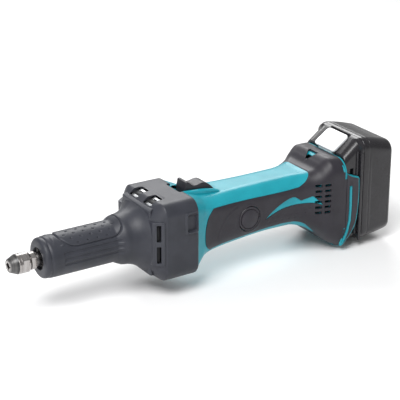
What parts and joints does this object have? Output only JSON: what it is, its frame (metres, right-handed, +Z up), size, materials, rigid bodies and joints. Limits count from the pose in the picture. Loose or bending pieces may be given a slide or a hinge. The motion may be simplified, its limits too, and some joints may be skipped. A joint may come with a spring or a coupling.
{
  "type": "die grinder",
  "caption": "Cordless straight die grinder with a long rubber-booted neck, collet chuck, slide switch, waisted grip and slide-on battery pack.",
  "frame": {"origin": "centre of the collet's mouth on the spindle axis", "axes": "+X runs back along the spindle axis from the collet to the battery, +Z is up towards the switch, +Y completes the right-handed frame"},
  "size_m": [0.402, 0.08, 0.1118],
  "materials": {
    "boot_rubber": "matt slate-grey moulded rubber",
    "teal_plastic": "satin-gloss teal moulded nylon",
    "grip_rubber": "matt dark grey overmoulded elastomer",
    "black_plastic": "glossy black moulded plastic",
    "dark_plastic": "matt dark plastic",
    "label_white": "glossy white",
    "bright_steel": "ground steel",
    "black_steel": "black-oxide steel",
    "cast_aluminium": "die-cast aluminium",
    "yoke_steel": "zinc-plated steel",
    "magnet": "sintered ferrite",
    "copper": "copper",
    "laminated_iron": "stacked laminations",
    "carbon": "graphite",
    "brass_plate": "brass",
    "board_green": "solder mask",
    "cell_wrap": "heat-shrink wrap"
  },
  "bodies": {
    "housing": {"rubber_boot": "boot_rubber", "bearing_box": "cast_aluminium", "bearing_retainer": "yoke_steel", "retainer_screws": "black_steel", "front_bearing_outer_ring": "bright_steel", "rear_bearing_outer_ring": "bright_steel", "motor_bearing_outer_ring": "bright_steel", "tail_bearing_outer_ring": "bright_steel", "baffle_plate": "dark_plastic", "motor_yoke": "yoke_steel", "magnets": "magnet", "left_housing": "teal_plastic", "right_housing": "teal_plastic", "left_grip": "grip_rubber", "right_grip": "grip_rubber", "left_brush_cap": "dark_plastic", "right_brush_cap": "dark_plastic", "brush_holders": "brass_plate", "carbon_brushes": "carbon", "brush_springs": "bright_steel", "power_switch": "dark_plastic", "control_board": "board_green", "terminal_block": "dark_plastic", "terminal_blades": "brass_plate", "housing_screws": "black_steel"},
    "spindle": {"spindle": "bright_steel", "coupling_sleeve": "bright_steel", "motor_shaft": "bright_steel", "armature_core": "laminated_iron", "armature_windings": "copper", "commutator": "copper", "cooling_fan": "dark_plastic", "front_bearing_inner_ring": "bright_steel", "rear_bearing_inner_ring": "bright_steel", "motor_bearing_inner_ring": "bright_steel", "tail_bearing_inner_ring": "bright_steel", "front_bearing_balls": "bright_steel", "rear_bearing_balls": "bright_steel", "motor_bearing_balls": "bright_steel", "tail_bearing_balls": "bright_steel"},
    "collet": {"collet": "bright_steel"},
    "collet_nut": {"collet_nut": "bright_steel"},
    "switch_slider": {"switch_slider": "dark_plastic", "rocker_pin": "black_steel"},
    "switch_knob": {"switch_knob": "dark_plastic"},
    "battery": {"battery_cover": "black_plastic", "battery_case": "black_plastic", "battery_cells": "cell_wrap", "battery_board": "board_green", "battery_clips": "brass_plate", "latch_spring": "bright_steel"},
    "battery_button": {"release_button": "label_white"}
  },
  "joints": [
    {"name": "spindle_spin", "type": "hinge", "parent": "housing", "child": "spindle", "pos_m": [0, 0, 0], "axis": [-1, 0, 0], "continuous": true},
    {"name": "nut_turn", "type": "hinge", "parent": "collet", "child": "collet_nut", "pos_m": [0, 0, 0], "axis": [-1, 0, 0], "range_deg": [0, 720]},
    {"name": "collet_release", "type": "slide", "parent": "spindle", "child": "collet", "axis": [-1, 0, 0], "range_m": [0, 0.002]},
    {"name": "switch_slide", "type": "slide", "parent": "housing", "child": "switch_slider", "axis": [-1, 0, 0], "range_m": [0, 0.008], "stiffness_N_per_m": 150, "springref_m": -0.001},
    {"name": "switch_rock", "type": "hinge", "parent": "switch_slider", "child": "switch_knob", "pos_m": [0.1934, 0, 0.0324], "axis": [0, -1, 0], "range_deg": [0, 3], "stiffness_Nm_per_rad": 0.2, "springref_deg": -1.15},
    {"name": "battery_slide", "type": "slide", "parent": "housing", "child": "battery", "axis": [0, 0, 1], "range_m": [0, 0.08]},
    {"name": "battery_release", "type": "slide", "parent": "battery", "child": "battery_button", "axis": [1, 0, 0], "range_m": [0, 0.004], "stiffness_N_per_m": 900, "springref_m": -0.001, "deforming": ["latch_spring"]}
  ],
  "couplings": [
    {"joint": "collet_release", "follows": "nut_turn", "m_per_rad": 0.00015915}
  ]
}
